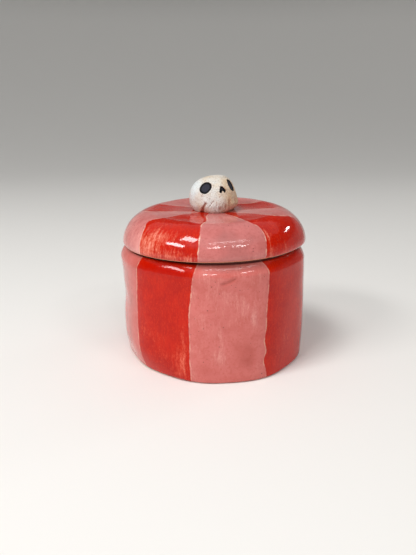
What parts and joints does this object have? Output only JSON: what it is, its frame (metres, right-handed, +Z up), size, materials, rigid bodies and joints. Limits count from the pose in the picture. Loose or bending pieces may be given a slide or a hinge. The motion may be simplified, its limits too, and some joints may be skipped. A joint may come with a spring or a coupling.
{
  "type": "lidded jar",
  "caption": "Small hand-built ceramic jar with a domed lift-off lid; its knob is a skull with black eyes and nose. Broad red and pink stripes under clear gloss.",
  "frame": {"origin": "on the table under the middle of the jar, at the centre of the foot", "axes": "+Z up through the knob, -Y the front that the picture shows, +X to that viewer's right"},
  "size_m": [0.0931, 0.0913, 0.0899],
  "materials": {
    "striped_glaze": "gloss, hand-painted red and pink stripes",
    "glazed_clay": "clear gloss over cream speckled clay",
    "bare_clay": "matt cream speckled clay",
    "black_glaze": "satin slate black"
  },
  "bodies": {
    "jar": {"jar_wall": "striped_glaze", "jar_floor": "glazed_clay", "seam_coil": "glazed_clay"},
    "lid_ring": {"lid_flange": "glazed_clay"},
    "lid": {"lid_cap": "striped_glaze", "skull_knob": "bare_clay", "left_eye_glaze": "black_glaze", "right_eye_glaze": "black_glaze", "nose_glaze": "black_glaze"}
  },
  "joints": [
    {"name": "lid_lift", "type": "slide", "parent": "jar", "child": "lid_ring", "axis": [0, 0, 1], "range_m": [0, 0.1]},
    {"name": "lid_turn", "type": "hinge", "parent": "lid_ring", "child": "lid", "pos_m": [0, 0, 0.0577], "axis": [0, 0, 1], "continuous": true}
  ]
}
